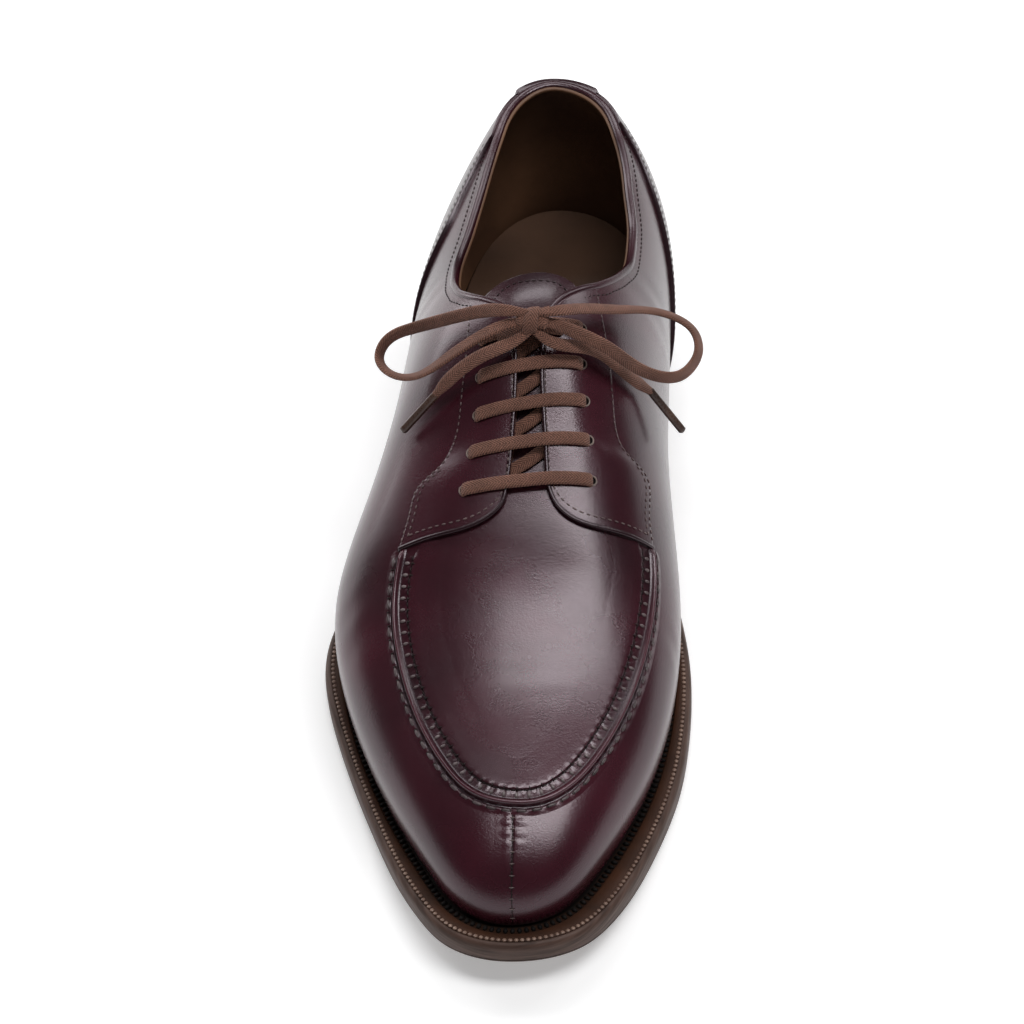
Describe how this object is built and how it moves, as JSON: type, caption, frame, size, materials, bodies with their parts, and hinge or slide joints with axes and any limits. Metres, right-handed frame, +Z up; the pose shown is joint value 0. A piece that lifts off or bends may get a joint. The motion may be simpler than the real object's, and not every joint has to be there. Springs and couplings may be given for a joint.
{
  "type": "split-toe apron derby shoe",
  "caption": "Right lace-up derby shoe with a raised apron seam, split toe, open-laced facings, welted leather sole and stacked heel, in burgundy leather with a tied bow.",
  "frame": {"origin": "on the floor, under the middle of the sole's bounding box", "axes": "+Z up, +Y from toe to heel, +X towards the inner side of the right foot"},
  "size_m": [0.1173, 0.3, 0.1056],
  "materials": {
    "burgundy_leather": "polished, fine grain",
    "insole_leather": "matte",
    "welt_leather": "waxed",
    "sole_leather": "satin edge",
    "heel_leather": "stained, satin",
    "top_lift_rubber": "matte",
    "lace_cotton": "woven, waxed",
    "aglet_plastic": "satin"
  },
  "bodies": {
    "root": {"outsole": "sole_leather", "welt": "welt_leather", "insole": "insole_leather", "heel_stack": "heel_leather", "top_lift": "top_lift_rubber", "upper": "burgundy_leather", "tongue": "burgundy_leather", "facing_outer": "burgundy_leather", "facing_inner": "burgundy_leather", "heel_counter": "burgundy_leather", "apron_seam": "burgundy_leather", "lace_bar_1": "lace_cotton", "lace_bar_2": "lace_cotton", "lace_bar_3": "lace_cotton", "lace_bar_4": "lace_cotton", "lace_bar_5": "lace_cotton", "lace_knot": "lace_cotton", "lace_loop_outer": "lace_cotton", "lace_loop_inner": "lace_cotton", "lace_end_outer": "lace_cotton", "lace_end_inner": "lace_cotton", "aglet_outer": "aglet_plastic", "aglet_inner": "aglet_plastic"}
  },
  "joints": []
}
